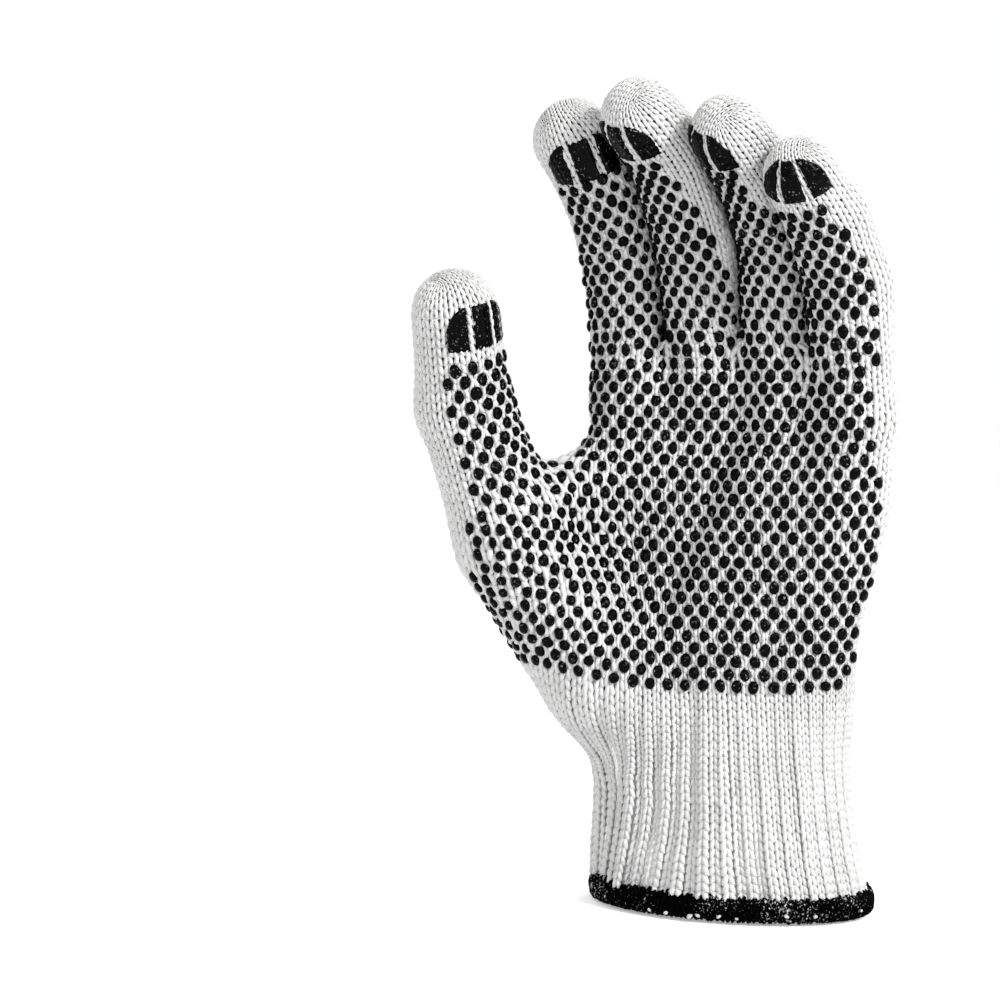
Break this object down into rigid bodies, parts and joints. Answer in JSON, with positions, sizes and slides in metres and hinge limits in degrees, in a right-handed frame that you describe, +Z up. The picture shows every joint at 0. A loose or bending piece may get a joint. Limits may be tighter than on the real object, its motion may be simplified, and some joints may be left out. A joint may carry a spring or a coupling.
{
  "type": "dotted work glove",
  "caption": "Knitted work glove for the left hand in its worn form, with a ribbed cuff, an overlocked hem and printed grip bars on the fingertips.",
  "frame": {"origin": "centre of the wrist opening, at the bottom of the hem", "axes": "+Z up along the hand to the fingertips, -Y out of the palm side, +X from the thumb to the little finger"},
  "size_m": [0.1321, 0.0834, 0.2364],
  "materials": {
    "knit": "soft white cotton and polyester yarn, knitted in plain stitch, with a rib at the cuff",
    "edging": "fuzzy black overlock thread",
    "print": "soft black PVC, slightly glossy"
  },
  "bodies": {
    "root": {"rib_cuff": "knit", "palm_shell": "knit", "index_finger": "knit", "middle_finger": "knit", "ring_finger": "knit", "little_finger": "knit", "thumb_finger": "knit", "cuff_hem": "edging", "grip_bar_index_1": "print", "grip_bar_index_2": "print", "grip_bar_index_3": "print", "grip_bar_middle_1": "print", "grip_bar_middle_2": "print", "grip_bar_middle_3": "print", "grip_bar_ring_1": "print", "grip_bar_ring_2": "print", "grip_bar_ring_3": "print", "grip_bar_little_1": "print", "grip_bar_little_2": "print", "grip_bar_little_3": "print", "grip_bar_thumb_1": "print", "grip_bar_thumb_2": "print", "grip_bar_thumb_3": "print"}
  },
  "joints": []
}
